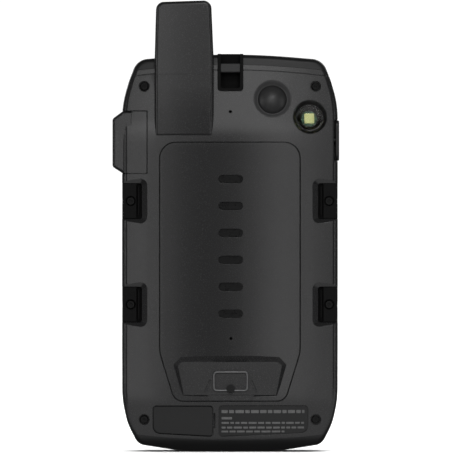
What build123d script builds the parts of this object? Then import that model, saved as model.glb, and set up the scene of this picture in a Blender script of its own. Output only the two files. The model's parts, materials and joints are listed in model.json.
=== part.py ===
from build123d import *
import os
from functools import lru_cache
from math import atan, cos, degrees, sin, sqrt

# Handheld emergency beacon with a satellite messenger, standing on its bottom end. Millimetres.
# +Z is up, -Y is the back (battery door) side, +Y is the screen side, +X is right seen from the back.
# The origin is the middle of the flat foot.

# ---- driving dimensions -------------------------------------------------------------------------
HALF_WIDTH = 43.7          # body, without the side buttons
BACK_Y = -16.5             # battery door level at mid width
FRONT_Y = 16.5             # bezel face
SPLIT_Y = 4.0              # parting plane between the two housings
CROWN_RADIUS = 300.0       # the back is crowned about an upright axis
WALL = 2.4                 # housing wall
RIM_ROUND = 2.4            # rounding between the sides and both faces
BUMPER = 1.2               # thickness of the elastomer bumpers
FOOT_HALF = 17.5

# grooves across both sides
GRIP_Y = (-9.5, 9.5)
GRIP_GROOVES_Z = (74.6, 87.5)
HOUSING_GROOVE_Z = 45.65
GROOVE_HALF = 1.2
GROOVE_DEPTH = 0.35

# right half of the body outline, from the foot to the top corner: x, z, corner radius
RIGHT_OUTLINE = (
    (FOOT_HALF, 0.0, 40.0),
    (37.2, 3.0, 5.0),
    (41.6, 11.5, 25.0),
    (HALF_WIDTH, 21.5, 40.0),
    (HALF_WIDTH, 141.0, 40.0),
    (40.9, 150.6, 25.0),
    (37.6, 159.0, 6.5),
)
TOP_APEX = (0.0, 162.05, 300.0)

# depth of the back at mid width: y, z, corner radius
BACK_PROFILE = (
    (-8.5, -3.0, 0.0),
    (-13.6, 5.0, 8.0),
    (BACK_Y, 24.0, 60.0),
    (BACK_Y, 128.5, 60.0),
    (-8.7, 170.0, 0.0),
)

TOP_SEAM = ((-38.0, 154.6), (0.0, 156.9), (38.0, 154.6))
TOP_LINE_DROP = 2.0        # a fine line runs this far below the seam
TOP_LINE = 0.3             # its width and depth
BOTTOM_SEAM = ((-38.6, 7.0), (0.0, 4.8), (38.6, 7.0))
BUMPER_FRONT_Y = 12.0

# antenna blade
BLADE_X = (-30.5, -6.6)
BLADE_TIP_X = (-29.9, -7.6)
BLADE_END_Z = 127.5
BLADE_SEAM_Z = 153.0
BLADE_TOP = (182.3, 183.0)  # the top edge falls slightly to the left
BLADE_FRONT_Y = -4.6
BLADE_ROUND = 3.2
BLADE_EDGE = 1.5
BLADE_HOLLOW_Y = (-11.0, -6.0)
ELEMENT_AT = (-18.7, -8.5)
ELEMENT_R = (2.1, 2.35)    # core, winding bands

# battery door and bay
DOOR_HALF = 28.45
DOOR_TOP = 125.4
DOOR_TAPER_Z = 40.4
DOOR_BOTTOM = (22.3, 20.6)
DOOR_GAP = 0.2             # each side of the seam
DOOR_WALL = 2.0
LEDGE = 2.8                # depth of the door's seat below the surface
BAY = (-25.4, 25.4, 42.2, 121.8)
BAY_FLOOR_Y = -3.9
BAY_BACK_Y = -2.7
BATTERY = (-24.8, 24.8, 42.8, 121.2)
BATTERY_Y = (-13.0, -4.5)

# latch recess in the door, D-ring and lock stud
RECESS_HALF_OUTLINE = ((20.3, 39.1), (23.9, 35.7), (19.6, 21.9))
RAMP_HIGH = (-13.9, 36.0)
RAMP_LOW = (-15.3, 22.5)
RAMP_SLOPE = (RAMP_HIGH[0] - RAMP_LOW[0]) / (RAMP_HIGH[1] - RAMP_LOW[1])
LATCH_BLOCK_Y = -11.3
LATCH_POCKET_Y = -9.8
STUD_X = 0.3
STUD_Z = 25.6
STUD_HEAD = (1.7, 1.3)
STUD_SHAFT_R = 1.2
STUD_LENGTH = 7.5
CLIP_R = 1.9
CLIP_LOW = -4.45
CLIP_HIGH = -4.15
LOCK_DROP = 0.6            # the lock's seats lie this far below the stud, which leans down inwards
RUNNING_GAP = 0.08
RING_WIRE_R = 0.4
RING_HALF = 6.75
RING_TOP = 6.78
RING_BAR = -0.7
RING_LIFT = 0.68
RING_CORNER = 1.2
RING_SWEEP_R = 9.8         # what the ring sweeps as the stud turns, with room to spare

# lanyard insert
LANYARD_X = (-5.0, 5.4)
LANYARD_Z = (146.1, 161.4)
LANYARD_WALL = 1.3
LANYARD_FLOOR_Y = -6.2
LANYARD_BACK_Y = -5.0
LANYARD_BAR_Z = (153.6, 157.5)
LANYARD_BAR_DEPTH = 2.4

# camera and flash, each on the sloping surface
CAMERA_AT = (17.3, 143.05)
CAMERA_R = (7.7, 5.9)
FLASH_AT = (32.5, 135.7)
FLASH_R = (7.0, 5.4)
LED_SIDE = 3.9
MICROPHONE_AT = (0.2, 137.8)
DOOR_VENT_AT = (0.4, 46.0)

# screws through the corners
SCREW_X = 34.75
SCREW_Z = (13.1, 148.1)
COUNTERBORE_R = 2.2
SCREW_HEAD_R = 1.6
SCREW_SHANK_R = 1.0
BOSS_R = 3.4

# side pockets for the cradle, with a screwed block in each
POCKET_X = 35.7
POCKET_Z = (59.7, 101.6)
POCKET_HALF = 7.25
POCKET_RIM = 1.5           # depth of the sloping rim
POCKET_RIM_WIDTH = 1.9
POCKET_FLOOR_Y = -5.5
BLOCK_FACE_Y = -12.5
BLOCK_SHELF_Y = -9.5
BLOCK_X = (37.9, 43.65)
BLOCK_SCREW_X = 40.2

# SOS cover and button, left side
SOS_SEAM_X = -33.5
SOS_Z = (112.7, 138.2)
SOS_GAP = 0.2
SOS_FRONT_Y = 1.0
SOS_COVER_WALL = 2.0
BUMP_X = -47.6
BUMP_Z = (115.5, 135.0)
BUMP_BACK = ((-36.0, -13.6), (-49.0, -12.0))    # its back face leans outwards, x and y
BUMP_HOLLOW_Y = -10.9
SOS_BUTTON_AT = (-7.0, 125.3)
SOS_BUTTON_SIZE = (7.2, 12.0)
SOS_BUTTON_X = (-44.2, -42.4)

# power button, right side
POWER_X = (43.0, 44.3)
POWER_Z = (118.0, 134.4)
POWER_Y = (-11.0, 0.0)
POWER_TRAVEL = 0.6
BUTTON_STEM_R = 1.6

# port cap and label, bottom end
CAP_X = (-31.1, -6.9)
CAP_TOP = 18.6
CAP_BOTTOM = (7.6, 6.3)    # left, right
CAP_WALL = 2.0
CAP_GAP = 0.2
PORT_FLOOR_Y = -9.2
PORT_BACK_Y = -7.6
NOTCH_X = (-7.1, -5.9)
NOTCH_Z = (9.7, 15.8)
LABEL_X = (-4.3, 31.5)
LABEL_TOP = 18.6
LABEL_BOTTOM = (6.4, 8.0)  # left, right
LABEL_THICK = 0.5
LABEL_GAP = 0.25

# boards and display, by depth
BOARD_Y = (5.0, 6.0)
FRAME_Y = (9.4, 10.4)
BACKLIGHT_Y = (10.6, 12.0)
LCD_Y = (12.2, 14.6)
GLASS_Y = (15.0, 16.3)
GLASS_HALF = 36.6
GLASS_Z = (22.5, 147.5)
LCD_HALF = 34.0
LCD_Z = (27.0, 143.0)
CAVITY_FRONT_Y = 13.4
STANDOFFS = ((-31.0, 30.0), (31.0, 30.0), (-31.0, 116.0), (31.0, 116.0))

FAR = 30.0                 # runs a cutter clear of the body


# ---- helpers ------------------------------------------------------------------------------------
def xz_prism(sketch, y_low, y_high):
    """A sketch drawn in x and z, extruded between two depths."""
    return Pos(0, y_high, 0) * extrude(Plane.XZ * sketch, amount=y_high - y_low)


def yz_prism(sketch, x_low, x_high):
    """A sketch drawn in y and z, extruded between two x positions."""
    return Pos(x_low, 0, 0) * extrude(Plane.YZ * sketch, amount=x_high - x_low)


def block(x, y, z):
    """A box from three (low, high) pairs."""
    centre = [(pair[0] + pair[1]) / 2 for pair in (x, y, z)]
    return Pos(*centre) * Box(x[1] - x[0], y[1] - y[0], z[1] - z[0])


def rounded(x, z, radius):
    """A rounded rectangle between two x and two z positions."""
    middle = Pos((x[0] + x[1]) / 2, (z[0] + z[1]) / 2)
    return middle * RectangleRounded(x[1] - x[0], z[1] - z[0], radius)


def rod_y(x, z, radius, y_low, y_high):
    """A round bar along Y."""
    return xz_prism(Pos(x, z) * Circle(radius), y_low, y_high)


def rod_x(y, z, radius, x_low, x_high):
    """A round bar along X."""
    return yz_prism(Pos(y, z) * Circle(radius), x_low, x_high)


def grown(sketch, amount):
    """The outline moved outwards, or inwards for a negative amount."""
    return offset(sketch, amount=amount, kind=Kind.INTERSECTION)


def filleted_face(corners):
    """A closed face from (u, v, corner radius) rows."""
    points = [(u, v) for u, v, radius in corners]
    radii = [radius for u, v, radius in corners]
    return make_face(FilletPolyline(*points, radius=radii, close=True))


def both_sides(solid):
    """The solid and its mirror image about the middle plane."""
    return [solid, mirror(solid, about=Plane.YZ)]


def local_disc(plane, radius, low, high):
    """A disc square to a local plane, between two heights above it."""
    return extrude(plane.offset(low) * Circle(radius), amount=high - low)


def local_turned(plane, points):
    """A ring or disc turned about a local plane's axis, from (radius, height) points."""
    upright = Plane(plane.origin, x_dir=plane.x_dir, z_dir=-plane.y_dir)
    profile = make_face(Polyline(*points, close=True))
    return revolve(upright * profile, axis=Axis(plane.origin, plane.z_dir))


def one(shape):
    """The largest solid of a result, without crumbs."""
    return max(shape.solids(), key=lambda solid: solid.volume)


# ---- body envelope ------------------------------------------------------------------------------
@lru_cache(maxsize=None)
def outline(inset=0.0):
    """The body outline seen from the back."""
    left = [(-x, z, radius) for x, z, radius in reversed(RIGHT_OUTLINE)]
    face = filleted_face([*RIGHT_OUTLINE, TOP_APEX, *left])
    return grown(face, -inset) if inset else face


def crowned(profile):
    """A profile in y and z, turned about the crown axis so that the back bulges slightly."""
    axis = Axis((0, BACK_Y + CROWN_RADIUS, 0), (0, 0, 1))
    half_turn = 12
    return revolve(Plane.YZ * profile, axis=axis, revolution_arc=2 * half_turn).rotate(axis, -half_turn)


@lru_cache(maxsize=None)
def crowned_back(inset=0.0):
    """Everything in front of the back surface, which is moved inwards by the inset."""
    rows = [(y + inset, z, radius) for y, z, radius in BACK_PROFILE]
    rows += [(60.0, BACK_PROFILE[-1][1], 0.0), (60.0, BACK_PROFILE[0][1], 0.0)]
    return crowned(filleted_face(rows))


@lru_cache(maxsize=None)
def envelope(inset=0.0):
    """The closed outer form of the body, or the same form moved inwards."""
    return one(xz_prism(outline(inset), -FAR, FRONT_Y - inset) & crowned_back(inset))


@lru_cache(maxsize=None)
def body_form():
    """The envelope with every rim rounded, grown from a smaller one so that the outline is kept."""
    return one(offset(envelope(RIM_ROUND), amount=RIM_ROUND, kind=Kind.ARC))


def back_depth(x, z):
    """The back surface's y at a point, from the straight stretches of its profile."""
    rows = BACK_PROFILE
    for low, high in zip(rows, rows[1:]):
        if low[1] <= z <= high[1]:
            y = low[0] + (high[0] - low[0]) * (z - low[1]) / (high[1] - low[1])
    centre = BACK_Y + CROWN_RADIUS
    return centre - sqrt((centre - y) ** 2 - x * x)


def surface_plane(x, z):
    """A plane that touches the back at a point, with its axis pointing out."""
    step = 0.5
    slope_x = (back_depth(x + step, z) - back_depth(x - step, z)) / (2 * step)
    slope_z = (back_depth(x, z + step) - back_depth(x, z - step)) / (2 * step)
    return Plane((x, back_depth(x, z), z), x_dir=(1, slope_x, 0), z_dir=(slope_x, -1, slope_z))


# ---- bumpers and grips --------------------------------------------------------------------------
@lru_cache(maxsize=None)
def bumper_skin():
    """The outer layer that the elastomer parts are made from."""
    return body_form() - envelope(BUMPER)


def beyond_arc(points, far_z, shift=0.0):
    """The space between an arched edge, seen from the back, and a height beyond it."""
    left, middle, right = [(x, z + shift) for x, z in points]
    edge = ThreePointArc(left, middle, right)
    sides = Polyline(right, (60, right[1]), (60, far_z), (-60, far_z), (-60, left[1]), left)
    return xz_prism(make_face(edge + sides), -FAR, BUMPER_FRONT_Y)


def top_bumper():
    """The band over the top end, open round the antenna blade and the lanyard insert."""
    blade = xz_prism(blade_outline(), -FAR, BLADE_FRONT_Y)
    return one((bumper_skin() & beyond_arc(TOP_SEAM, 200)) - blade - lanyard_pocket() - antenna_neck_hole())


def bottom_bumper():
    """The bumper under the bottom end, which is also the foot."""
    return one(bumper_skin() & beyond_arc(BOTTOM_SEAM, -10))


@lru_cache(maxsize=None)
def grip_strip():
    """The right-hand grip before it is grooved."""
    margin = POCKET_HALF + 1.9
    zone = block((42.0, 60), GRIP_Y, (POCKET_Z[0] + margin, POCKET_Z[1] - margin))
    return one(bumper_skin() & zone)


def side_groove(z):
    """A shallow groove across the right-hand side."""
    return block((HALF_WIDTH - GROOVE_DEPTH, 60), GRIP_Y, (z - GROOVE_HALF, z + GROOVE_HALF))


def side_grips():
    """One grooved strip down each side, between the pockets."""
    strip = grip_strip()
    for z in GRIP_GROOVES_Z:
        strip -= side_groove(z)
    return Compound(both_sides(one(strip)))


def side_seats():
    """What both housings lose on each side to the grip and to the groove below the pockets."""
    return both_sides(grip_strip()) + both_sides(side_groove(HOUSING_GROOVE_Z))


# ---- antenna ------------------------------------------------------------------------------------
def blade_outline(inset=0.0):
    """The antenna blade seen from the back."""
    face = filleted_face([
        (BLADE_X[0], BLADE_END_Z, 0.0),
        (BLADE_X[1], BLADE_END_Z, 0.0),
        (BLADE_X[1], 160.0, 20.0),
        (BLADE_TIP_X[1], BLADE_TOP[1], BLADE_ROUND),
        (BLADE_TIP_X[0], BLADE_TOP[0], BLADE_ROUND),
        (BLADE_X[0], 160.0, 20.0),
    ])
    return grown(face, -inset) if inset else face


@lru_cache(maxsize=None)
def blade_form():
    """The whole blade with rounded rims, flush with the door level at its lower end."""
    inset = BLADE_EDGE
    profile = filleted_face([
        (BACK_Y + inset, BLADE_END_Z - 1, 0.0),
        (BACK_Y + inset, 140.0, 200.0),
        (BACK_Y + inset + 3.5, 190.0, 0.0),
        (BLADE_FRONT_Y - inset, 190.0, 0.0),
        (BLADE_FRONT_Y - inset, BLADE_END_Z - 1, 0.0),
    ])
    core = one(crowned(profile) & xz_prism(blade_outline(inset), -FAR, 0))
    return one(offset(core, amount=inset, kind=Kind.ARC))


def antenna_neck_hole():
    """The hole through the top of the body for the antenna's lead."""
    return Pos(-18.7, -8.2, 158) * Cylinder(1.3, 12)


def antenna_cap():
    """The hollow cap over the antenna element."""
    cap = blade_form() & block((-60, 60), (-FAR, FAR), (BLADE_SEAM_Z, 200))
    hollow = xz_prism(blade_outline(1.8), *BLADE_HOLLOW_Y) & block((-60, 60), (-FAR, FAR), (161.6, 200))
    return one(cap - body_form() - hollow - antenna_neck_hole())


def antenna_element():
    """The wound ceramic core, with raised winding bands."""
    core = Pos(*ELEMENT_AT, 171.6) * Cylinder(ELEMENT_R[0], 17)
    for z in (166, 169.5, 173, 176.5):
        core += Pos(*ELEMENT_AT, z) * Cylinder(ELEMENT_R[1], 1.2)
    return core


def antenna_lead():
    """The coaxial lead from the element down to the main board."""
    route = FilletPolyline((-18.7, -8.2, 163.1), (-18.7, -8.2, 147.0), (-18.7, BOARD_Y[0], 147.0), radius=4)
    return sweep(Plane(route @ 0, z_dir=route % 0) * Circle(0.7), path=route)


# ---- rear housing -------------------------------------------------------------------------------
@lru_cache(maxsize=None)
def door_outline(amount=0.0):
    """The seam round the battery door, grown or shrunk."""
    face = filleted_face([
        (-DOOR_BOTTOM[0], DOOR_BOTTOM[1], 4.5),
        (DOOR_BOTTOM[0], DOOR_BOTTOM[1], 4.5),
        (DOOR_HALF, DOOR_TAPER_Z, 14.0),
        (DOOR_HALF, DOOR_TOP, 6.5),
        (-DOOR_HALF, DOOR_TOP, 6.5),
        (-DOOR_HALF, DOOR_TAPER_Z, 14.0),
    ])
    return grown(face, amount) if amount else face


def latch_outline(amount):
    """The part of the door's seat below the battery bay."""
    lower = Pos(0, DOOR_TAPER_Z / 2) * Rectangle(80, DOOR_TAPER_Z + 2 * amount + 5.6)
    return door_outline(amount) & lower


def lanyard_pocket():
    """The notch in the top edge that takes the lanyard insert."""
    face = filleted_face([
        (LANYARD_X[0], LANYARD_Z[0], 1.4),
        (LANYARD_X[1], LANYARD_Z[0], 1.4),
        (LANYARD_X[1], LANYARD_Z[1] + 5, 0.0),
        (LANYARD_X[0], LANYARD_Z[1] + 5, 0.0),
    ])
    return xz_prism(face, -FAR, LANYARD_BACK_Y)


def port_outline(amount=0.0):
    """The weather cap seen from the back, grown or shrunk."""
    face = filleted_face([
        (CAP_X[0], CAP_BOTTOM[0], 3.0),
        (CAP_X[1], CAP_BOTTOM[1], 1.3),
        (CAP_X[1], CAP_TOP, 1.3),
        (CAP_X[0], CAP_TOP, 1.3),
    ])
    return grown(face, amount) if amount else face


def label_outline(amount=0.0):
    """The label plate seen from the back, grown or shrunk."""
    face = filleted_face([
        (LABEL_X[0], LABEL_BOTTOM[0], 1.3),
        (LABEL_X[1], LABEL_BOTTOM[1], 3.0),
        (LABEL_X[1], LABEL_TOP, 1.3),
        (LABEL_X[0], LABEL_TOP, 1.3),
    ])
    return grown(face, amount) if amount else face


def pocket_cut(z):
    """One right-hand cradle pocket, open to the back and to the side, with a sloping rim."""
    inside = rounded((POCKET_X, 60), (z - POCKET_HALF, z + POCKET_HALF), 1.0)
    straight = xz_prism(inside, -FAR, POCKET_FLOOR_Y)
    depth = 4.0
    rim_y = back_depth(POCKET_X, z)
    mouth = grown(inside, POCKET_RIM_WIDTH * depth / POCKET_RIM)
    rim = loft([
        Plane.XZ.offset(-(rim_y + POCKET_RIM)) * inside,
        Plane.XZ.offset(-(rim_y + POCKET_RIM - depth)) * mouth,
    ])
    return straight + rim


def sos_zone(margin):
    """The corner region that the SOS cover takes up, grown by a margin."""
    return block(
        (-60, SOS_SEAM_X - SOS_GAP + margin),
        (-FAR, SOS_FRONT_Y + margin),
        (SOS_Z[0] + SOS_GAP - margin, SOS_Z[1] - SOS_GAP + margin),
    )


def power_notch():
    """The notch in the right-hand edge that the power button sits in."""
    gap = 0.3
    floor_x = POWER_X[0] - gap - POWER_TRAVEL
    return block((floor_x, 60), (-FAR, POWER_Y[1] + gap), (POWER_Z[0] - gap, POWER_Z[1] + gap))


def screw_axes():
    """The four corner screw positions."""
    return [(side * SCREW_X, z) for side in (-1, 1) for z in SCREW_Z]


def rear_ribs():
    """Everything inside the rear housing that isn't its outer wall, before its holes are cut."""
    pieces = [xz_prism(door_outline(1.6), -FAR, BAY_BACK_Y)]
    pieces.append(xz_prism(grown(port_outline(), 1.6), -FAR, PORT_BACK_Y))
    left, right = LANYARD_X
    pieces.append(block((left - 1.4, right + 1.4), (-FAR, LANYARD_BACK_Y + 1.2), (LANYARD_Z[0] - 1.4, 170)))
    for x, z in screw_axes():
        pieces.append(rod_y(x, z, BOSS_R, -FAR, SPLIT_Y))
    for z in POCKET_Z:
        half = POCKET_HALF + 1.4
        backing = block((POCKET_X - 1.4, 60), (-FAR, POCKET_FLOOR_Y + 1.4), (z - half, z + half))
        pieces += both_sides(backing)
    pieces.append(local_disc(surface_plane(*CAMERA_AT), CAMERA_R[0] + 1.2, -3.8, 8))
    pieces.append(local_disc(surface_plane(*FLASH_AT), FLASH_R[0] + 1.1, -4.6, 8))
    pieces.append(sos_zone(1.7) - envelope(4.4))
    return pieces


def rear_cuts():
    """Every opening and seat cut into the rear housing."""
    cuts = [xz_prism(door_outline(DOOR_GAP), -FAR, FAR) - envelope(LEDGE)]
    cuts.append(xz_prism(rounded(BAY[:2], BAY[2:], 2.5), -FAR, BAY_FLOOR_Y))
    cuts.append(xz_prism(latch_outline(-2.6), -FAR, LATCH_POCKET_Y))
    cuts.append(rod_y(STUD_X, STUD_Z - LOCK_DROP, CLIP_R + 0.6, -FAR, LATCH_POCKET_Y))
    cuts.append(ring_sweep())
    cuts.append(lock_insert_body())
    cuts.append(xz_prism(port_outline(CAP_GAP), -FAR, FAR) - envelope(CAP_WALL + 0.3))
    cuts.append(xz_prism(port_outline(-1.6), -FAR, PORT_FLOOR_Y))
    cuts.append(block(NOTCH_X, (-FAR, -12.0), NOTCH_Z))
    cuts.append(usb_body())
    cuts.append(jack_body())
    cuts.append(xz_prism(label_outline(LABEL_GAP), -FAR, FAR) - envelope(LABEL_THICK))
    cuts.append(lanyard_pocket())
    line = beyond_arc(TOP_SEAM, 200, -TOP_LINE_DROP - TOP_LINE) - beyond_arc(TOP_SEAM, 200, -TOP_LINE_DROP)
    cuts.append((line & block((-60, 60), (-FAR, 0), (100, 170))) - envelope(TOP_LINE))
    for z in POCKET_Z:
        cuts += both_sides(pocket_cut(z))
    for x, z in screw_axes():
        depth = back_depth(x, z)
        cuts.append(rod_y(x, z, COUNTERBORE_R, -FAR, depth + 2.8))
        cuts.append(rod_y(x, z, SCREW_SHANK_R + 0.1, -FAR, FAR))
    camera, flash = surface_plane(*CAMERA_AT), surface_plane(*FLASH_AT)
    cuts.append(local_disc(camera, CAMERA_R[0], -2.6, 8))
    cuts.append(local_disc(camera, 4.4, -8, 8))
    cuts.append(local_disc(flash, FLASH_R[0], -2.2, 8))
    cuts.append(local_disc(flash, FLASH_R[1] + 0.1, -8, 8))
    cuts.append(local_disc(surface_plane(*MICROPHONE_AT), 0.6, -5, 5))
    cuts.append(sos_zone(SOS_GAP + 0.1) - envelope(SOS_COVER_WALL + 0.2))
    cuts.append(rod_x(*SOS_BUTTON_AT, BUTTON_STEM_R + RUNNING_GAP, -60, -30))
    cuts.append(power_notch())
    cuts.append(rod_x(power_centre()[0], power_centre()[1], BUTTON_STEM_R + RUNNING_GAP, 30, 60))
    cuts.append(card_socket())
    cuts += contact_pins()
    cuts.append(antenna_neck_hole())
    cuts.append(seal_ring())
    return cuts


def rear_housing():
    """The back shell with the root of the antenna blade, the battery bay and all seats."""
    form = body_form()
    behind_split = block((-FAR * 2, FAR * 2), (-FAR, SPLIT_Y), (-FAR, 250))
    shell = (form - envelope(WALL)) & behind_split
    for rib in rear_ribs():
        shell += form & behind_split & rib
    blade_root = blade_form() & block((-60, 60), (-FAR, FAR), (0, BLADE_SEAM_Z))
    shell += blade_root - envelope(WALL)
    for zone in (top_bumper(), bottom_bumper(), *side_seats()):
        shell -= zone
    for cut in rear_cuts():
        shell -= cut
    return one(shell)


# ---- front housing, display and boards ----------------------------------------------------------
@lru_cache(maxsize=None)
def seal_ring():
    """The elastomer seal in the parting plane."""
    band = outline(BUMPER + 0.1) - outline(WALL - 0.4)
    return xz_prism(band, SPLIT_Y - 0.5, SPLIT_Y + 0.5)


def lcd_outline(amount):
    """The display outline, grown or shrunk."""
    return rounded((-LCD_HALF - amount, LCD_HALF + amount), (LCD_Z[0] - amount, LCD_Z[1] + amount), 1.5)


def front_housing():
    """The bezel shell, with four screw bosses and a ledge for the glass."""
    form = body_form()
    ahead = block((-FAR * 2, FAR * 2), (SPLIT_Y, FAR), (-FAR, 250))
    shell = (form & ahead) - xz_prism(outline(WALL), SPLIT_Y - 1, CAVITY_FRONT_Y)
    for x, z in screw_axes():
        shell += rod_y(x, z, BOSS_R - 0.2, SPLIT_Y, CAVITY_FRONT_Y)
        shell -= rod_y(x, z, 1.6, SPLIT_Y - 1, SPLIT_Y + 5)
    shell -= xz_prism(lcd_outline(0.6), 0, FAR)
    seat = rounded((-GLASS_HALF - 0.15, GLASS_HALF + 0.15), (GLASS_Z[0] - 0.15, GLASS_Z[1] + 0.15), 4.15)
    shell -= xz_prism(seat, GLASS_Y[0] - 0.2, FAR)
    for zone in (top_bumper(), bottom_bumper(), seal_ring(), *side_seats()):
        shell -= zone
    return one(shell)


def glass_adhesive():
    """The adhesive frame under the edge of the glass."""
    outer = rounded((-GLASS_HALF + 0.3, GLASS_HALF - 0.3), (GLASS_Z[0] + 0.3, GLASS_Z[1] - 0.3), 3.7)
    return xz_prism(outer - lcd_outline(0.7), GLASS_Y[0] - 0.2, GLASS_Y[0])


def cover_glass():
    """The touch glass."""
    glass = xz_prism(rounded((-GLASS_HALF, GLASS_HALF), GLASS_Z, 4.0), *GLASS_Y)
    return chamfer(glass.faces().sort_by(Axis.Y)[-1].edges(), 0.3)


def lcd_module():
    """The display panel."""
    return xz_prism(lcd_outline(0.0), *LCD_Y)


def backlight():
    """The light guide behind the display."""
    return xz_prism(lcd_outline(-0.5), *BACKLIGHT_Y)


def boss_holes(radius, y_low, y_high):
    """Clearance round the four front bosses."""
    return [rod_y(x, z, radius, y_low, y_high) for x, z in screw_axes()]


def mid_frame():
    """The metal frame that carries the display and the main board."""
    plate = xz_prism(outline(3.4), *FRAME_Y)
    for hole in boss_holes(BOSS_R + 0.2, 0, FAR):
        plate -= hole
    for x, z in STANDOFFS:
        plate += rod_y(x, z, 2.0, BOARD_Y[1], FRAME_Y[0])
        plate -= rod_y(x, z, 0.8, 0, BOARD_Y[1] + 2.5)
    for z in (52, 92):
        plate -= xz_prism(rounded((-22, 22), (z - 14, z + 14), 4), *FRAME_Y)
    return one(plate)


def main_board():
    """The main circuit board."""
    board = xz_prism(outline(5.0), *BOARD_Y)
    for hole in boss_holes(BOSS_R + 0.4, 0, FAR):
        board -= hole
    for x, z in STANDOFFS:
        board -= rod_y(x, z, 0.9, 0, FAR)
    return one(board)


def board_screws():
    """The screws that hold the board to the frame."""
    screws = []
    for x, z in STANDOFFS:
        screw = rod_y(x, z, 1.6, BOARD_Y[0] - 0.9, BOARD_Y[0])
        screw += rod_y(x, z, 0.8, BOARD_Y[0], BOARD_Y[1] + 2.2)
        socket = xz_prism(Pos(x, z) * RegularPolygon(0.75, 6), BOARD_Y[0] - 1, BOARD_Y[0] - 0.4)
        screws.append(one(screw - socket))
    return Compound(screws)


def board_part(x, z, height):
    """A rectangular component standing on the back of the main board, with rounded edges."""
    part = xz_prism(rounded(x, z, 0.8), BOARD_Y[0] - height, BOARD_Y[0])
    return chamfer(part.faces().sort_by(Axis.Y)[0].edges(), 0.25)


def shield_cans():
    """The pressed screening cans over the radio, processor and power sections."""
    sections = (((-24, -4), (92, 112)), ((2, 24), (94, 110)), ((-23, -9), (54, 72)))
    return Compound([one(board_part(x, z, 2.0)) for x, z in sections])


def satellite_modem():
    """The satellite transceiver module."""
    return board_part((-5, 26), (56, 86), 4.0)


def gnss_antenna():
    """The ceramic patch antenna for position fixes."""
    patch = board_part((8, 30), (122, 144), 4.0)
    return patch - rod_y(20.5, 134.6, 0.7, BOARD_Y[0] - 5, BOARD_Y[0] - 3.4)


def buzzer():
    """The alert sounder on the main board."""
    can = rod_y(-20, 126, 6.0, BOARD_Y[0] - 3.2, BOARD_Y[0])
    return can - rod_y(-20, 126, 1.2, BOARD_Y[0] - 4, BOARD_Y[0] - 2.2)


# ---- camera, flash and microphone ---------------------------------------------------------------
def camera_bezel():
    """The dished ring round the camera window."""
    outer, inner = CAMERA_R
    seat = [(inner, -2.6), (outer, -2.6), (outer, -0.05)]
    dish = [(outer - 0.35, -0.15), (inner + 0.25, -1.5), (inner, -1.5)]
    return local_turned(surface_plane(*CAMERA_AT), seat + dish)


def domed_window(at, radius, crown, edge, under):
    """A domed disc set in the back, from the heights of its crown, its edge and its flat underside."""
    plane = surface_plane(*at)
    upright = Plane(plane.origin, x_dir=plane.x_dir, z_dir=-plane.y_dir)
    bulge = edge + (crown - edge) * 0.72
    dome = ThreePointArc((0, crown), (radius * 0.55, bulge), (radius, edge))
    sides = Polyline((radius, edge), (radius, under), (0, under), (0, crown))
    return revolve(upright * make_face(dome + sides), axis=Axis(plane.origin, plane.z_dir))


def camera_window():
    """The domed camera window."""
    return domed_window(CAMERA_AT, CAMERA_R[1], 0.5, -2.0, -2.5)


def camera_module():
    """The camera with its lens barrel."""
    plane = surface_plane(*CAMERA_AT)
    body = extrude(plane.offset(-8.6) * RectangleRounded(9, 9, 0.8), amount=4.8)
    return body + local_disc(plane, 3.4, -3.8, -2.8)


def flash_bezel():
    """The sloping ring round the flash window."""
    outer, inner = FLASH_R
    seat = [(inner, -2.2), (outer, -2.2), (outer, -0.05)]
    slope = [(outer - 0.3, -0.15), (inner + 0.2, -1.7), (inner, -1.7)]
    return local_turned(surface_plane(*FLASH_AT), seat + slope)


def flash_window():
    """The domed clear cover over the light."""
    return domed_window(FLASH_AT, FLASH_R[1], -0.7, -1.85, -2.2)


def flash_reflector():
    """The reflector cup round the light source."""
    radius = FLASH_R[1] - 0.05
    outside = [(3.1, -4.0), (radius, -4.0), (radius, -2.3)]
    cup = [(radius - 0.5, -2.3), (3.4, -3.7), (3.1, -3.7)]
    return local_turned(surface_plane(*FLASH_AT), outside + cup)


def flash_led():
    """The square light emitter."""
    square = RectangleRounded(LED_SIDE, LED_SIDE, 0.3)
    return extrude(surface_plane(*FLASH_AT).offset(-4.0) * square, amount=1.0)


def flash_board():
    """The small round board under the light."""
    return local_disc(surface_plane(*FLASH_AT), FLASH_R[1], -4.7, -4.0)


def microphone():
    """The microphone capsule behind its hole."""
    plane = surface_plane(*MICROPHONE_AT)
    capsule = local_disc(plane, 3.0, -4.2, -2.6)
    return capsule - local_disc(plane, 0.7, -3.0, 0)


# ---- lanyard ------------------------------------------------------------------------------------
def lanyard_insert():
    """The lined slot in the top edge that a cord is threaded through."""
    proud = 0.3
    x, z = LANYARD_X, LANYARD_Z
    face = filleted_face([(x[0], z[0], 1.4), (x[1], z[0], 1.4), (x[1], 170, 0.0), (x[0], 170, 0.0)])
    shape = xz_prism(face, -FAR, LANYARD_BACK_Y) & (Pos(0, 0, proud) * envelope())
    inner = rounded((x[0] + LANYARD_WALL, x[1] - LANYARD_WALL), (z[0] + LANYARD_WALL, 180), 0.8)
    return one(shape - xz_prism(inner, -FAR, LANYARD_FLOOR_Y))


def lanyard_bar():
    """The bar that the cord goes round."""
    z_low, z_high = LANYARD_BAR_Z
    face_y = back_depth(0, (z_low + z_high) / 2) + 0.25
    profile = filleted_face([
        (face_y, z_low, 0.5),
        (face_y + LANYARD_BAR_DEPTH, z_low, 0.8),
        (face_y + LANYARD_BAR_DEPTH + 0.3, z_high, 0.8),
        (face_y + 0.7, z_high, 0.5),
    ])
    return yz_prism(profile, LANYARD_X[0] + LANYARD_WALL, LANYARD_X[1] - LANYARD_WALL)


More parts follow.
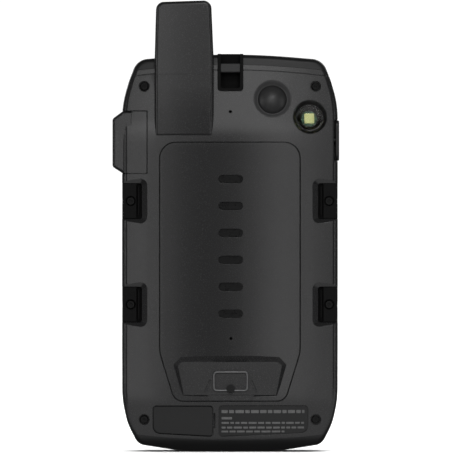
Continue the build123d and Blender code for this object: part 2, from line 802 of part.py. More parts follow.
# ---- battery, door and lock ---------------------------------------------------------------------
@lru_cache(maxsize=None)
def floor_y(z):
    """The depth of the recess floor at a height."""
    return RAMP_LOW[0] + RAMP_SLOPE * (z - RAMP_LOW[1])


def stud_plane():
    """The plane of the recess floor at the lock stud, with its axis pointing out."""
    tilt = atan(RAMP_SLOPE)
    return Plane((STUD_X, floor_y(STUD_Z), STUD_Z), x_dir=(1, 0, 0), z_dir=(0, -cos(tilt), sin(tilt)))


def ring_sweep():
    """The shallow round scoop that the D-ring turns in."""
    return local_disc(stud_plane(), RING_SWEEP_R, RING_LIFT - RING_WIRE_R - RUNNING_GAP, 5)


def latch_recess():
    """The space cut into the door round the D-ring, with sloping walls and floor."""
    left = [(-x, z) for x, z in reversed(RECESS_HALF_OUTLINE)]
    mouth = make_face(Polyline(*RECESS_HALF_OUTLINE, *left, close=True))
    above, below = 1.2, 3.8
    walls = loft([
        Plane.XZ.offset(-(BACK_Y - above)) * grown(mouth, above),
        Plane.XZ.offset(-(BACK_Y + below)) * grown(mouth, -below),
    ], ruled=True)
    top, bottom = 45.0, 15.0
    floor = [(floor_y(z), z) for z in (top, bottom)]
    wedge = make_face(Polyline((-FAR, top), *floor, (-FAR, bottom), close=True))
    return walls & yz_prism(wedge, -40, 40)


def grip_bars():
    """Six pill-shaped grip bars sunk into the door, in one column."""
    bars = []
    count, low, high = 6, 56.0, 110.5
    pitch = (high - low) / (count - 1)
    for index in range(count):
        pill = Pos(0.3, low + index * pitch) * SlotOverall(10.0, 3.4)
        bars.append(xz_prism(pill, -FAR, FAR) - envelope(0.35))
    return bars


def battery_door():
    """The door over the battery bay, with the latch recess and the lock block behind it."""
    plate = (xz_prism(door_outline(-DOOR_GAP), -FAR, 0) & body_form()) - envelope(DOOR_WALL)
    latch = xz_prism(latch_outline(-3.0), -FAR, LATCH_BLOCK_Y) & body_form()
    door = plate + latch - latch_recess() - ring_sweep()
    for bar in grip_bars():
        door -= bar
    door -= rod_y(*DOOR_VENT_AT, 0.6, -FAR, 0)
    plane = stud_plane()
    door -= local_disc(plane, STUD_SHAFT_R + RUNNING_GAP, -10, 5)
    for side in (-1, 1):
        mark = plane * (Pos(side * 9.3, 1.0) * Rot(0, 0, side * 24) * SlotOverall(5.6, 0.9, rotation=90))
        door -= extrude(mark, amount=-0.6)
    return one(door)


def door_gasket():
    """The seal on the inside of the door."""
    band = xz_prism(door_outline(-0.7), -FAR, 0) - xz_prism(door_outline(-1.5), -FAR, 0)
    return one((band & envelope(DOOR_WALL)) - envelope(DOOR_WALL + 0.6))


def vent_membrane():
    """The breathable disc behind the door's vent hole."""
    return rod_y(*DOOR_VENT_AT, 2.2, BACK_Y, BACK_Y + DOOR_WALL + 0.3) & envelope(DOOR_WALL)


def lock_stud():
    """The quarter-turn stud, with a cross hole for the D-ring."""
    plane = stud_plane()
    stud = local_disc(plane, STUD_HEAD[0], 0.06, STUD_HEAD[1])
    stud += local_disc(plane, STUD_SHAFT_R, -STUD_LENGTH, 0.1)
    bar = Plane(plane.from_local_coords((-5, RING_BAR, RING_LIFT)), z_dir=(1, 0, 0))
    stud -= extrude(bar * Circle(RING_WIRE_R + RUNNING_GAP), amount=10)
    stud -= local_disc(plane, 0.4, STUD_HEAD[1] - 0.12, STUD_HEAD[1] + 1)
    groove = local_disc(plane, STUD_SHAFT_R + 1, CLIP_LOW, CLIP_HIGH)
    return one(stud - (groove - local_disc(plane, STUD_SHAFT_R - 0.35, CLIP_LOW, CLIP_HIGH)))


def lock_clip():
    """The clip that keeps the stud in the door."""
    plane = stud_plane()
    return local_disc(plane, CLIP_R, CLIP_LOW, CLIP_HIGH) - local_disc(plane, STUD_SHAFT_R - 0.35, -7, -3)


def d_ring():
    """The wire ring that turns the stud."""
    plane = stud_plane()
    corners = [(-RING_HALF, RING_BAR), (RING_HALF, RING_BAR), (RING_HALF, RING_TOP), (-RING_HALF, RING_TOP)]
    points = [plane.from_local_coords((u, v, RING_LIFT)) for u, v in corners]
    path = FilletPolyline(*points, radius=RING_CORNER, close=True)
    return sweep(Plane(path @ 0, z_dir=path % 0) * Circle(RING_WIRE_R), path=path)


def lock_insert_body():
    """The outside of the metal insert that the stud locks into."""
    return rod_y(STUD_X, STUD_Z - LOCK_DROP, 3.2, LATCH_POCKET_Y, LATCH_POCKET_Y + 4.4)


def lock_insert():
    """The metal insert in the housing, slotted for the stud."""
    slot = Pos(STUD_X, STUD_Z - LOCK_DROP) * SlotOverall(4.0, 3.0, rotation=90)
    return lock_insert_body() - xz_prism(slot, LATCH_POCKET_Y - 1, LATCH_POCKET_Y + 3.6)


def battery_pack():
    """The rechargeable pack."""
    pack = xz_prism(rounded(BATTERY[:2], BATTERY[2:], 2.2), *BATTERY_Y)
    return fillet(pack.faces().sort_by(Axis.Y)[0].edges() + pack.faces().sort_by(Axis.Y)[-1].edges(), 0.8)


def battery_label():
    """The wrap on the back face of the pack."""
    face = rounded((BATTERY[0] + 4, BATTERY[1] - 4), (BATTERY[2] + 8, BATTERY[3] - 8), 1.5)
    return xz_prism(face, BATTERY_Y[0] - 0.15, BATTERY_Y[0])


def contact_pins():
    """The four sprung pins as separate solids."""
    return [rod_y(x, 47.5, 0.7, BATTERY_Y[1] + 0.15, BOARD_Y[0]) for x in (-6, -2, 2, 6)]


def card_socket():
    """The memory card socket in the bay floor."""
    return block((-21.0, -7.0), (BAY_FLOOR_Y + 0.1, BAY_BACK_Y + 1.1), (101.0, 116.0))


# ---- ports and label ----------------------------------------------------------------------------
def port_cap():
    """The weather cap with its seal rib."""
    plate = (xz_prism(port_outline(-CAP_GAP), -FAR, FAR) & body_form()) - envelope(CAP_WALL)
    rib = xz_prism(port_outline(-2.2) - port_outline(-3.2), -FAR, FAR) & envelope(CAP_WALL - 0.1)
    return one(plate + (rib - envelope(CAP_WALL + 0.7)))


@lru_cache(maxsize=None)
def usb_body():
    """The outside of the data and charging connector."""
    return xz_prism(rounded((-26.5, -17.5), (10.6, 13.9), 1.5), PORT_FLOOR_Y - 0.2, -3.6)


def usb_connector():
    """The connector shell with its mouth and tongue."""
    mouth = xz_prism(rounded((-26.0, -18.0), (11.1, 13.4), 1.1), -FAR, -5.6)
    tongue = block((-25.0, -19.0), (-8.6, -5.6), (12.0, 12.5))
    return usb_body() - mouth + tongue


@lru_cache(maxsize=None)
def jack_body():
    """The outside of the external antenna jack."""
    return rod_y(-11.6, 12.3, 2.2, PORT_FLOOR_Y - 0.2, -3.6)


def antenna_jack():
    """The external antenna jack with its centre contact."""
    jack = jack_body() - rod_y(-11.6, 12.3, 1.6, -FAR, -5.6)
    return jack + rod_y(-11.6, 12.3, 0.4, -8.6, -5.6)


def port_board():
    """The small board that carries both connectors."""
    return xz_prism(rounded((-30.5, -7.5), (6.5, 18.6), 1.0), -3.6, -2.6)


def port_flex():
    """The ribbon from the port board to the main board."""
    return block((-22, -12), (-2.6, BOARD_Y[0]), (9.0, 9.3))


def label_plate():
    """The plate beside the port cap."""
    return one((xz_prism(label_outline(), -FAR, FAR) & body_form()) - envelope(LABEL_THICK))


# ---- side blocks and screws ---------------------------------------------------------------------
def side_block(z):
    """One right-hand cradle block, with a shelf, a rib and a screw seat."""
    low, high = z - POCKET_HALF + 0.25, z + POCKET_HALF - 0.25
    shape = block((POCKET_X + 0.2, BLOCK_X[1]), (BLOCK_SHELF_Y, POCKET_FLOOR_Y), (low, high))
    shape += block(BLOCK_X, (BLOCK_FACE_Y, BLOCK_SHELF_Y), (low, high))
    shape += block((36.7, 37.2), (BLOCK_FACE_Y + 0.2, BLOCK_SHELF_Y), (low + 1.2, high - 1.2))
    shape -= block((BLOCK_X[1] - GROOVE_DEPTH, 60), (-FAR, FAR), (z - GROOVE_HALF, z + GROOVE_HALF))
    shape &= body_form()
    shape -= rod_y(BLOCK_SCREW_X, z, 2.1, -FAR, BLOCK_FACE_Y + 1.6)
    return one(shape - rod_y(BLOCK_SCREW_X, z, 0.9, -FAR, FAR))


def side_blocks():
    """The four cradle blocks."""
    return Compound([solid for z in POCKET_Z for solid in both_sides(side_block(z))])


def screw(x, z, y, head_r, head_h, shank_r, shank_y):
    """A round-headed screw along Y with a six-lobed socket."""
    head = rod_y(x, z, head_r, y, y + head_h)
    head = chamfer(head.faces().sort_by(Axis.Y)[0].edges(), 0.25)
    shape = head + rod_y(x, z, shank_r, y + head_h, shank_y)
    lobes = Circle(head_r * 0.34)
    for step in range(6):
        lobes += Rot(0, 0, 60 * step) * (Pos(head_r * 0.38, 0) * Circle(head_r * 0.12))
    return one(shape - xz_prism(Pos(x, z) * lobes, y - 1, y + head_h * 0.6))


def side_block_screws():
    """The screws through the cradle blocks."""
    screws = []
    for z in POCKET_Z:
        seat = BLOCK_FACE_Y + 1.6
        screws += both_sides(screw(BLOCK_SCREW_X, z, seat - 1.1, 1.7, 1.1, 0.9, POCKET_FLOOR_Y))
    return Compound(screws)


def corner_screws():
    """The four screws that close the housings."""
    screws = []
    for x, z in screw_axes():
        seat = back_depth(x, z) + 2.8
        screws.append(screw(x, z, seat - 1.5, SCREW_HEAD_R, 1.5, SCREW_SHANK_R, SPLIT_Y + 4.5))
    return Compound(screws)


def threaded_inserts():
    """The brass inserts in the front bosses."""
    inserts = []
    for x, z in screw_axes():
        sleeve = rod_y(x, z, 1.6, SPLIT_Y, SPLIT_Y + 5)
        inserts.append(sleeve - rod_y(x, z, SCREW_SHANK_R, 0, SPLIT_Y + 4.5))
    return Compound(inserts)


# ---- SOS and power controls ---------------------------------------------------------------------
def bump_outline(inset):
    """The finger bump of the SOS cover seen from the back."""
    face = filleted_face([
        (-36, SOS_Z[0] + SOS_GAP, 0.0),
        (HALF_WIDTH * -1 + 0.2, SOS_Z[0] + SOS_GAP, 1.0),
        (BUMP_X, BUMP_Z[0], 1.6),
        (BUMP_X, BUMP_Z[1], 1.6),
        (HALF_WIDTH * -1 + 0.2, SOS_Z[1] - SOS_GAP, 1.0),
        (-36, SOS_Z[1] - SOS_GAP, 0.0),
    ])
    return grown(face, -inset) if inset else face


def sos_cover():
    """The guard over the SOS button, which wraps from the back to the left side."""
    lean = make_face(Polyline(*BUMP_BACK, (BUMP_BACK[1][0], FAR), (BUMP_BACK[0][0], FAR), close=True))
    outer_bump = xz_prism(bump_outline(0), -FAR, SOS_FRONT_Y) & extrude(Plane.XY * lean, amount=200)
    sharp = outer_bump.faces().sort_by(Axis.Y)[0].edges().filter_by(lambda edge: (edge @ 0.5).X < -HALF_WIDTH)
    outer_bump = fillet(sharp, 1.2)
    inner_bump = xz_prism(bump_outline(1.7), BUMP_HOLLOW_Y, SOS_FRONT_Y - 1.8)
    shape = (body_form() & sos_zone(0)) + (outer_bump & block((-60, -40), (-FAR, FAR), (0, 200)))
    return one(shape - envelope(SOS_COVER_WALL) - inner_bump)


def pill_x(y, z, width, height, x_low, x_high):
    """An upright pill, extruded along X."""
    return yz_prism(Pos(y, z) * SlotOverall(height, width, rotation=90), x_low, x_high)


def sos_button():
    """The SOS button with its stem."""
    y, z = SOS_BUTTON_AT
    cap = pill_x(y, z, *SOS_BUTTON_SIZE, *SOS_BUTTON_X)
    cap = fillet(cap.faces().sort_by(Axis.X)[0].edges(), 0.6)
    return cap + rod_x(y, z, BUTTON_STEM_R, SOS_BUTTON_X[1], -38.9)


def side_switch(x_face, direction, y, z):
    """A tactile switch facing one side, with its plunger at x_face."""
    plunger = sorted((x_face, x_face + direction * 0.8))
    body = sorted((x_face + direction * 0.8, x_face + direction * 3.4))
    return rod_x(y, z, 1.5, *plunger) + block(body, (y - 2.5, y + 2.5), (z - 3, z + 3))


def sos_switch():
    """The switch under the SOS button."""
    return side_switch(-38.0, 1, *SOS_BUTTON_AT)


def power_centre():
    """The middle of the power button, in y and z."""
    return (POWER_Y[0] + POWER_Y[1]) / 2 + 1.0, (POWER_Z[0] + POWER_Z[1]) / 2


def power_button():
    """The power button with its stem."""
    bar = block(POWER_X, POWER_Y, POWER_Z)
    corners = bar.edges().filter_by(Axis.X)
    bar = fillet(corners, 2.4)
    bar = fillet(bar.faces().sort_by(Axis.X)[-1].edges(), 0.5)
    y, z = power_centre()
    return bar + rod_x(y, z, BUTTON_STEM_R, 40.4, POWER_X[0])


def power_switch():
    """The switch under the power button."""
    return side_switch(39.6, -1, *power_centre())


PARTS = {
    "rear_housing": rear_housing,
    "front_housing": front_housing,
    "top_bumper": top_bumper,
    "bottom_bumper": bottom_bumper,
    "side_grips": side_grips,
    "antenna_cap": antenna_cap,
    "antenna_element": antenna_element,
    "antenna_lead": antenna_lead,
    "housing_seal": seal_ring,
    "cover_glass": cover_glass,
    "glass_adhesive": glass_adhesive,
    "lcd_module": lcd_module,
    "backlight": backlight,
    "mid_frame": mid_frame,
    "main_board": main_board,
    "board_screws": board_screws,
    "shield_cans": shield_cans,
    "satellite_modem": satellite_modem,
    "gnss_antenna": gnss_antenna,
    "buzzer": buzzer,
    "camera_bezel": camera_bezel,
    "camera_window": camera_window,
    "camera_module": camera_module,
    "flash_bezel": flash_bezel,
    "flash_window": flash_window,
    "flash_reflector": flash_reflector,
    "flash_led": flash_led,
    "flash_board": flash_board,
    "microphone": microphone,
    "lanyard_insert": lanyard_insert,
    "lanyard_bar": lanyard_bar,
    "battery_door": battery_door,
    "door_gasket": door_gasket,
    "vent_membrane": vent_membrane,
    "lock_stud": lock_stud,
    "lock_clip": lock_clip,
    "d_ring": d_ring,
    "lock_insert": lock_insert,
    "battery_pack": battery_pack,
    "battery_label": battery_label,
    "battery_contacts": lambda: Compound(contact_pins()),
    "memory_card_socket": card_socket,
    "port_cap": port_cap,
    "usb_connector": usb_connector,
    "antenna_jack": antenna_jack,
    "port_board": port_board,
    "port_flex": port_flex,
    "label_plate": label_plate,
    "side_blocks": side_blocks,
    "side_block_screws": side_block_screws,
    "corner_screws": corner_screws,
    "threaded_inserts": threaded_inserts,
    "sos_cover": sos_cover,
    "sos_button": sos_button,
    "sos_switch": sos_switch,
    "power_button": power_button,
    "power_switch": power_switch,
}

os.makedirs("parts", exist_ok=True)
for name, make in PARTS.items():
    export_step(make(), f"parts/{name}.step")
    print("made", name)
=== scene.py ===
import json
import math
import random
from functools import lru_cache

import bmesh
import bpy
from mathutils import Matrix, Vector
from mathutils.bvhtree import BVHTree


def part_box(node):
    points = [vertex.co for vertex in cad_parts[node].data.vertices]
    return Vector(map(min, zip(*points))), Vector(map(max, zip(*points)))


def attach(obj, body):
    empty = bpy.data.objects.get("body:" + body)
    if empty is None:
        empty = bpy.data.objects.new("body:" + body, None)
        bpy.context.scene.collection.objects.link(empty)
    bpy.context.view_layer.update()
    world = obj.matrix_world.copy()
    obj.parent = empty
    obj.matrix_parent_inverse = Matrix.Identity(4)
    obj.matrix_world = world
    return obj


MM = 0.001

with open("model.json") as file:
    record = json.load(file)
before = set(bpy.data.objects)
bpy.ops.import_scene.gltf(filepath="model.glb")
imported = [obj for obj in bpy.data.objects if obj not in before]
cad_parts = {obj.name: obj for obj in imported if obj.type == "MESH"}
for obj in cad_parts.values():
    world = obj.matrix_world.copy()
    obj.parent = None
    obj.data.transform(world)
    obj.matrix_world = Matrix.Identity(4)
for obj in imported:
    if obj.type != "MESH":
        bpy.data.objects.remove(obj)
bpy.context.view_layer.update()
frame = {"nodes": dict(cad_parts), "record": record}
NODES = frame["nodes"]


# ---- materials ----------------------------------------------------------------------------------
class Shader:
    """A node material on one Principled shader, with short calls for the nodes that it needs."""

    def __init__(self, name, color, roughness, **sockets):
        self.material = bpy.data.materials.new(name)
        self.material.use_nodes = True
        self.tree = self.material.node_tree
        self.principled = self.tree.nodes["Principled BSDF"]
        self.set("Base Color", (*color, 1.0))
        self.set("Roughness", roughness)
        for socket, value in sockets.items():
            self.set(socket.replace("_", " "), value)
        self.place = self.node("ShaderNodeTexCoord").outputs["Object"]
        self.normal = None

    def set(self, socket, value):
        self.principled.inputs[socket].default_value = value

    def node(self, kind, **values):
        made = self.tree.nodes.new(kind)
        for key, value in values.items():
            setattr(made, key, value)
        return made

    def link(self, output, target):
        self.tree.links.new(output, target)

    def noise(self, scale, detail=2.0, stretch=(1, 1, 1)):
        """Noise over the object's own coordinates, in features per metre."""
        mapping = self.node("ShaderNodeMapping")
        mapping.inputs["Scale"].default_value = stretch
        self.link(self.place, mapping.inputs["Vector"])
        noise = self.node("ShaderNodeTexNoise")
        noise.inputs["Scale"].default_value = scale
        noise.inputs["Detail"].default_value = detail
        self.link(mapping.outputs["Vector"], noise.inputs["Vector"])
        return noise.outputs["Fac"]

    def between(self, factor, low, high, spread=(0.3, 0.7)):
        """A number that runs between two values as the factor does."""
        ramp = self.node("ShaderNodeMapRange")
        ramp.inputs["From Min"].default_value, ramp.inputs["From Max"].default_value = spread
        ramp.inputs["To Min"].default_value, ramp.inputs["To Max"].default_value = low, high
        self.link(factor, ramp.inputs["Value"])
        return ramp.outputs["Result"]

    def shade(self, factor, low, high, spread=(0.3, 0.7)):
        """A colour that runs between two colours as the factor does."""
        mix = self.node("ShaderNodeMix", data_type="RGBA")
        mix.inputs["A"].default_value = (*low, 1.0)
        mix.inputs["B"].default_value = (*high, 1.0)
        self.link(self.between(factor, 0.0, 1.0, spread), mix.inputs["Factor"])
        self.link(mix.outputs["Result"], self.principled.inputs["Base Color"])

    def rough(self, factor, low, high, spread=(0.3, 0.7)):
        self.link(self.between(factor, low, high, spread), self.principled.inputs["Roughness"])

    def soften_edges(self, radius):
        """Edges shaded as if rounded to a radius."""
        bevel = self.node("ShaderNodeBevel", samples=4)
        bevel.inputs["Radius"].default_value = radius
        self.normal = bevel.outputs["Normal"]
        self.link(self.normal, self.principled.inputs["Normal"])

    def bump(self, height, distance, strength=1.0):
        bump = self.node("ShaderNodeBump")
        bump.inputs["Distance"].default_value = distance
        bump.inputs["Strength"].default_value = strength
        self.link(height, bump.inputs["Height"])
        if self.normal is not None:
            self.link(self.normal, bump.inputs["Normal"])
        self.normal = bump.outputs["Normal"]
        self.link(self.normal, self.principled.inputs["Normal"])


def scaled(color, amount):
    return [min(1.0, channel * amount) for channel in color]


def moulded(name, color, roughness, grain=0.35 * MM, depth=0.006 * MM, edge=0.22 * MM, **sockets):
    """Moulded plastic or rubber: a fine eroded grain, uneven gloss and softened edges."""
    shader = Shader(name, color, roughness, **sockets)
    cloudy = shader.noise(45, 3)
    fine = shader.noise(1 / grain, 2)
    shader.shade(cloudy, scaled(color, 0.92), scaled(color, 1.08))
    shader.rough(fine, roughness - 0.03, roughness + 0.04)
    shader.soften_edges(edge)
    shader.bump(fine, depth, 0.35)
    return shader.material


def machined(name, color, roughness, stretch=(1, 1, 12), edge=0.08 * MM):
    """Metal with fine drawn or turned lines."""
    shader = Shader(name, color, roughness, Metallic=1.0)
    lines = shader.noise(900, 3, stretch)
    shader.shade(lines, scaled(color, 0.85), scaled(color, 1.1))
    shader.rough(lines, roughness - 0.06, roughness + 0.08)
    shader.soften_edges(edge)
    return shader.material


def speckled(name, color, roughness, scale=700, contrast=0.12, **sockets):
    """A smooth moulding, film or resin with faint mottling."""
    shader = Shader(name, color, roughness, **sockets)
    spots = shader.noise(scale, 4)
    shader.shade(spots, scaled(color, 1 - contrast), scaled(color, 1 + contrast))
    shader.rough(spots, roughness * 0.85, roughness * 1.15)
    return shader.material


def clear(name, roughness):
    """A clear moulding, with an index well under a real plastic's so that it doesn't enlarge the light."""
    shader = Shader(name, (1, 1, 1), roughness, Transmission_Weight=1.0, IOR=1.12)
    shader.rough(shader.noise(200, 2), roughness * 0.6, roughness * 1.6)
    return shader.material


def circuit_board(name):
    """Solder mask with copper tracks showing faintly through it."""
    shader = Shader(name, (0.008, 0.07, 0.03), 0.3, Coat_Weight=0.4)
    tracks = shader.node("ShaderNodeTexVoronoi", feature="DISTANCE_TO_EDGE", distance="CHEBYCHEV")
    tracks.inputs["Scale"].default_value = 420
    shader.link(shader.place, tracks.inputs["Vector"])
    shader.shade(tracks.outputs["Distance"], (0.02, 0.14, 0.05), (0.006, 0.055, 0.022), (0.02, 0.06))
    return shader.material


def emitter(name):
    """The yellow phosphor face of the light, faintly mottled."""
    shader = Shader(name, (0.55, 0.58, 0.25), 0.5)
    shader.shade(shader.noise(1500, 2), (0.42, 0.45, 0.17), (0.52, 0.55, 0.24))
    return shader.material


SATIN = 0.25
MATERIALS = {
    "housing_plastic": moulded("satin_housing", (0.0165, 0.0165, 0.017), SATIN),
    "bezel_plastic": moulded("satin_bezel", (0.013, 0.013, 0.0135), 0.32),
    "bumper_rubber": moulded(
        "bumper_rubber", (0.007, 0.007, 0.0073), 0.42,
        grain=0.5 * MM, depth=0.01 * MM, Specular_IOR_Level=0.42,
    ),
    "key_rubber": moulded("key_rubber", (0.014, 0.014, 0.0145), 0.4),
    "sos_rubber": moulded("sos_rubber", (0.42, 0.035, 0.012), 0.48),
    "black_plastic": moulded("black_plastic", (0.003, 0.003, 0.0031), 0.42, Specular_IOR_Level=0.2),
    "bar_plastic": moulded("bar_plastic", (0.012, 0.012, 0.0123), 0.4, Specular_IOR_Level=0.35),
    "seal_rubber": moulded("seal_rubber", (0.008, 0.008, 0.008), 0.6),
    "touch_glass": speckled("touch_glass", (0.0018, 0.0018, 0.0022), 0.045, contrast=0.05, Coat_Weight=0.5),
    "lens_plastic": speckled("lens_plastic", (0.034, 0.034, 0.0345), 0.42, contrast=0.08),
    "clear_window": clear("clear_window", 0.02),
    "panel": speckled("panel", (0.012, 0.013, 0.017), 0.18),
    "adhesive": speckled("adhesive", (0.01, 0.01, 0.01), 0.7),
    "frame_metal": machined("frame_metal", (0.52, 0.52, 0.54), 0.4),
    "board_green": circuit_board("board_green"),
    "flex_amber": speckled("flex_amber", (0.38, 0.16, 0.015), 0.35),
    "can_steel": machined("can_steel", (0.5, 0.5, 0.49), 0.32),
    # a dark cup rather than chrome, which looked mottled through the window
    "reflector_chrome": moulded("reflector_cup", (0.006, 0.006, 0.006), 0.35, Specular_IOR_Level=0.35),
    "led_phosphor": emitter("led_phosphor"),
    "patch_ceramic": speckled("patch_ceramic", (0.55, 0.48, 0.37), 0.55),
    "gold_contact": machined("gold_contact", (0.8, 0.55, 0.2), 0.25),
    "coax": moulded("coax", (0.015, 0.015, 0.015), 0.45),
    "black_screw": machined("black_screw", (0.02, 0.02, 0.02), 0.4),
    "steel_screw": machined("steel_screw", (0.07, 0.07, 0.072), 0.34),
    "ring_steel": machined("ring_steel", (0.16, 0.16, 0.162), 0.33),
    "label_film": moulded(
        "label_film", (0.0055, 0.0055, 0.0058), 0.32,
        grain=0.25 * MM, depth=0.003 * MM, Specular_IOR_Level=0.4,
    ),
    # black rather than the pale film it is: painted shade, so that the vent reads as an open hole
    "vent_film": moulded("vent_painted_shade", (0.001, 0.001, 0.001), 0.6, Specular_IOR_Level=0.1),
    "switch_body": moulded("switch_body", (0.02, 0.02, 0.02), 0.45),
}

# finishes of single pieces that are set apart from their slot's, some of them by a lot, some of them as
# painted light or painted shade
NODE_FINISHES = {
    # a grey ring lightened well past the housing's grey as painted light, against the shade of its dish
    "camera_bezel": moulded("grey_ring_painted_light", (0.075, 0.075, 0.076), 0.5),
    "flash_bezel": moulded("dark_ring", (0.0045, 0.0045, 0.0047), 0.34, Specular_IOR_Level=0.4),
    # black plastic darkened further as painted shade of the pocket it sits in
    "lanyard_insert": moulded("black_insert_painted_shade", (0.001, 0.001, 0.001), 0.5, Specular_IOR_Level=0.1),
    # black plastic darkened further as painted shade of the side pockets
    "side_blocks": moulded("black_block_painted_shade", (0.0015, 0.0015, 0.0016), 0.45, Specular_IOR_Level=0.15),
    "lock_stud": machined("dark_stud", (0.02, 0.02, 0.02), 0.4),
    # near-black as painted shade, so that the microphone's hole reads dark
    "microphone": moulded("microphone_painted_shade", (0.001, 0.001, 0.001), 0.6, Specular_IOR_Level=0.1),
}

SLOT_OF = {row["node"]: row["material_slot"] for row in frame["record"]["subparts"]}
for name, node in NODES.items():
    node.data.materials.clear()
    node.data.materials.append(NODE_FINISHES.get(name, MATERIALS[SLOT_OF[name]]))


# ---- details ------------------------------------------------------------------------------------
@lru_cache(maxsize=None)
def surface_of(name):
    """A CAD node's surface, for finding points on it."""
    mesh = NODES[name].data
    return BVHTree.FromPolygons([v.co for v in mesh.vertices], [p.vertices for p in mesh.polygons])


def surface_point(name, x, z):
    """Where a line along +Y at x and z first meets the node, and the normal there."""
    place, normal, _, _ = surface_of(name).ray_cast(Vector((x, -0.2, z)), Vector((0, 1, 0)))
    if place is None:
        raise ValueError(f"{name} isn't behind x {x:.4f}, z {z:.4f}")
    return place, normal


def new_piece(name, mesh_data, body, material):
    """A mesh piece that rides on a body, finished in one material."""
    mesh = bpy.data.meshes.new(name)
    mesh_data.to_mesh(mesh)
    mesh_data.free()
    piece = bpy.data.objects.new(name, mesh)
    bpy.context.collection.objects.link(piece)
    mesh.materials.append(material)
    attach(piece, body)
    return piece


def add_raised_strip(mesh, node, x_range, z_range, height, corner):
    """A thin rounded strip laid on the surface, as tall as height, with a sloping edge."""
    (x_low, x_high), (z_low, z_high) = x_range, z_range
    outline = []
    for centre_x, centre_z, start in (
        (x_high - corner, z_high - corner, 0), (x_low + corner, z_high - corner, 90),
        (x_low + corner, z_low + corner, 180), (x_high - corner, z_low + corner, 270),
    ):
        for step in range(4):
            angle = math.radians(start + 30 * step)
            outline.append((centre_x + corner * math.cos(angle), centre_z + corner * math.sin(angle)))
    rings = []
    shrink = 0.6 * height
    middle = ((x_low + x_high) / 2, (z_low + z_high) / 2)
    for inset, lift in ((0.0, -0.02 * MM), (0.0, height * 0.6), (shrink, height)):
        ring = []
        for x, z in outline:
            x += math.copysign(inset, middle[0] - x)
            z += math.copysign(inset, middle[1] - z)
            place, normal = surface_point(node, x, z)
            ring.append(mesh.verts.new(place + normal * lift))
        rings.append(ring)
    count = len(outline)
    for low, high in zip(rings, rings[1:]):
        for i in range(count):
            j = (i + 1) % count
            mesh.faces.new((low[i], low[j], high[j], high[i]))
    mesh.faces.new(rings[-1])
    mesh.faces.new(list(reversed(rings[0])))


LABEL_MARGIN = 0.9 * MM
DASH_GAP = 0.55            # millimetres
PRINT_HEIGHT = 0.03 * MM
PRINT_CORNER = 0.2 * MM


def label_marks():
    """Rows of plain dashes on the label plate, in place of any wording."""
    low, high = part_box("label_plate")
    left, top = low[0] + LABEL_MARGIN, high[2]
    rng = random.Random(7)
    mesh = bmesh.new()
    # drop below the plate's top edge, bar height, row length, shortest and longest dash; in millimetres
    rows = (
        (2.2, 1.25, 33.6, 1.6, 4.4),
        (4.9, 0.95, 4.6, 4.0, 4.6),
        (6.8, 0.75, 33.4, 1.2, 3.4),
        (8.7, 0.8, 33.4, 1.4, 3.8),
        (10.3, 0.75, 25.5, 1.6, 4.2),
    )
    for drop, bar, length, shortest, longest in rows:
        x = 0.0
        while x < length - 0.8:
            dash = min(rng.uniform(shortest, longest), length - x)
            centre = top - drop * MM
            add_raised_strip(
                mesh, "label_plate", (left + x * MM, left + (x + dash) * MM),
                (centre - bar / 2 * MM, centre + bar / 2 * MM), PRINT_HEIGHT, PRINT_CORNER,
            )
            x += dash + DASH_GAP
    bmesh.ops.recalc_face_normals(mesh, faces=mesh.faces)
    new_piece("label_marks", mesh, "housing", PRINT_GREY)


GRIP_COUNT = 6
GRIP_RANGE_Z = (56.0 * MM, 110.5 * MM)
GRIP_SHIFT_X = 0.3 * MM    # the bars' middle, right of the door's
GRIP_HALF = (4.85 * MM, 1.55 * MM)
GRIP_HEIGHT = 0.2 * MM
GRIP_CORNER = 1.5 * MM


def grip_inlays():
    """Dark glossy inlays in the door's grip bars."""
    low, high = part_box("battery_door")
    x = (low[0] + high[0]) / 2 + GRIP_SHIFT_X
    bottom, top = GRIP_RANGE_Z
    half_x, half_z = GRIP_HALF
    for index in range(GRIP_COUNT):
        z = bottom + index * (top - bottom) / (GRIP_COUNT - 1)
        mesh = bmesh.new()
        x_range, z_range = (x - half_x, x + half_x), (z - half_z, z + half_z)
        add_raised_strip(mesh, "battery_door", x_range, z_range, GRIP_HEIGHT, GRIP_CORNER)
        bmesh.ops.recalc_face_normals(mesh, faces=mesh.faces)
        new_piece(f"grip_inlay_{index + 1}", mesh, "door", INLAY_BLACK)


INLAY_BLACK = speckled("inlay_black", (0.002, 0.002, 0.0021), 0.3, contrast=0.1, Specular_IOR_Level=0.25)
PRINT_GREY = speckled("print_grey", (0.13, 0.13, 0.13), 0.5, scale=2500, contrast=0.3)
label_marks()
grip_inlays()


# ---- stage --------------------------------------------------------------------------------------
def make_floor():
    """A pale floor that the object's own surfaces don't mirror."""
    bpy.ops.mesh.primitive_plane_add(size=12.0)
    floor = bpy.context.object
    floor.name = "floor"
    shader = Shader("pale_floor", (0.9, 0.9, 0.9), 0.8)
    shader.shade(shader.noise(3, 2), (0.89, 0.89, 0.89), (0.91, 0.91, 0.91))
    floor.data.materials.append(shader.material)
    floor.visible_glossy = False
    floor.visible_diffuse = False
    return floor


def add_light(name, kind, place, aim, energy):
    data = bpy.data.lights.new(name, kind)
    data.energy = energy
    light = bpy.data.objects.new(name, data)
    bpy.context.collection.objects.link(light)
    light.location = place
    light.rotation_mode = "QUATERNION"
    light.rotation_quaternion = (Vector(aim) - Vector(place)).to_track_quat("-Z", "Y")
    light.visible_camera = False
    return light


def area_light(name, place, aim, size, energy):
    light = add_light(name, "AREA", place, aim, energy)
    light.data.shape = "RECTANGLE"
    light.data.size, light.data.size_y = size
    return light


def floor_light(floor):
    """An overhead light that falls on the floor alone, so that it stays white to the horizon."""
    light = add_light("floor_light", "SUN", (0, 0, 2), (0, 0, 0), 4.2)
    light.data.angle = math.radians(70)
    lit = bpy.data.collections.new("lit_by_floor_light")
    lit.objects.link(floor)
    light.light_linking.receiver_collection = lit


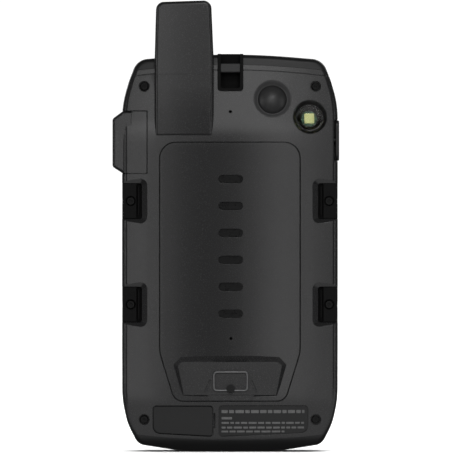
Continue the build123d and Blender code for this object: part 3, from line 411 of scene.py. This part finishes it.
def make_world():
    """A dark studio, seen as white by the camera."""
    world = bpy.data.worlds.new("studio")
    world.use_nodes = True
    bpy.context.scene.world = world
    tree = world.node_tree
    room = tree.nodes["Background"]
    seen = tree.nodes.new("ShaderNodeBackground")
    for background, strength in ((room, ROOM_LEVEL), (seen, 1.1)):
        background.inputs["Color"].default_value = (1, 1, 1, 1)
        background.inputs["Strength"].default_value = strength
    path = tree.nodes.new("ShaderNodeLightPath")
    mix = tree.nodes.new("ShaderNodeMixShader")
    tree.links.new(path.outputs["Is Camera Ray"], mix.inputs["Fac"])
    tree.links.new(room.outputs[0], mix.inputs[1])
    tree.links.new(seen.outputs[0], mix.inputs[2])
    tree.links.new(mix.outputs[0], tree.nodes["World Output"].inputs["Surface"])


VIEW_WIDTH = 186.13 * MM
VIEW_CENTRE = (-0.37 * MM, -3 * MM, 90.3 * MM)


def make_camera():
    """A long lens square to the back of the object."""
    data = bpy.data.cameras.new("camera")
    data.lens = 600
    data.sensor_width = 36
    data.clip_end = 50
    camera = bpy.data.objects.new("camera", data)
    bpy.context.collection.objects.link(camera)
    x, y, z = VIEW_CENTRE
    camera.location = (x, y - VIEW_WIDTH * data.lens / data.sensor_width, z)
    camera.rotation_euler = (math.radians(90), 0, 0)
    bpy.context.scene.camera = camera


def round_the_object(angle, lift, distance):
    """A place at an angle left or right of the camera's side and a lift above level, in degrees."""
    turn, rise = math.radians(angle), math.radians(lift)
    flat = distance * math.cos(rise)
    return (flat * math.sin(turn), -flat * math.cos(turn), MIDDLE[2] + distance * math.sin(rise))


MIDDLE = (0, 0, 0.09)
ROOM_LEVEL = 0.1

LIGHT_DISTANCE = 2.0
# name, angle, lift, width and height in metres, watts
STRIP_LIGHTS = (
    ("right_strip", 9, 3, (0.2, 1.3), 2.3),
    ("right_fill", 17, 3, (0.24, 1.3), 1.0),
    ("left_strip", -16, 3, (0.2, 1.3), 2.7),
    ("left_edge", -60, 3, (0.3, 1.3), 4.5),
    ("right_edge", 62, 3, (0.3, 1.3), 3.0),
    ("top_strip", -4, 21, (1.0, 0.4), 2.6),
    ("high_strip", 8, 36, (0.8, 0.3), 6.5),
    ("front_left", 150, 35, (1.2, 0.9), 9.0),
    ("front_right", -150, 20, (1.2, 0.9), 6.0),
)

floor_light(make_floor())
make_world()
make_camera()
for name, angle, lift, size, energy in STRIP_LIGHTS:
    area_light(name, round_the_object(angle, lift, LIGHT_DISTANCE), MIDDLE, size, energy)
area_light("floor_bounce", (0.04, -0.07, 0.001), (0.04, -0.07, 1), (0.24, 0.1), 0.045)
bpy.context.scene.view_settings.view_transform = "Standard"
